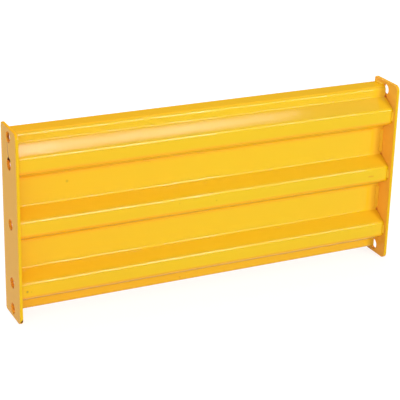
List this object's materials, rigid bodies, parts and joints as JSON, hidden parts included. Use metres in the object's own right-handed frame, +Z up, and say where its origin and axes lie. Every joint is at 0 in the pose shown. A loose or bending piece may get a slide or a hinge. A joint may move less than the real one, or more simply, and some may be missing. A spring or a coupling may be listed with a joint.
{
  "type": "industrial guard rail",
  "caption": "Bolt-on steel guard rail: a ribbed, roll-formed sheet rail between two upright end plates, which bolt to posts to stop vehicles.",
  "frame": {"origin": "under the middle of the rail, midway across the plates' depth, level with the plates' bottom edges", "axes": "+X along the rail, +Y towards the open back (the ribs face -Y), +Z up"},
  "size_m": [0.866, 0.091, 0.4064],
  "materials": {
    "rail_paint": "glossy safety-yellow powder coat",
    "plate_paint": "satin safety-yellow powder coat",
    "weld_paint": "safety-yellow powder coat over fillet welds"
  },
  "bodies": {
    "root": {"rail": "rail_paint", "left_end_plate": "plate_paint", "left_rib_weld_1": "weld_paint", "left_rib_weld_2": "weld_paint", "left_rib_weld_3": "weld_paint", "left_web_weld_1": "weld_paint", "left_web_weld_2": "weld_paint", "left_top_flange_weld": "weld_paint", "left_bottom_flange_weld": "weld_paint", "right_end_plate": "plate_paint", "right_rib_weld_1": "weld_paint", "right_rib_weld_2": "weld_paint", "right_rib_weld_3": "weld_paint", "right_web_weld_1": "weld_paint", "right_web_weld_2": "weld_paint", "right_top_flange_weld": "weld_paint", "right_bottom_flange_weld": "weld_paint"}
  },
  "joints": []
}
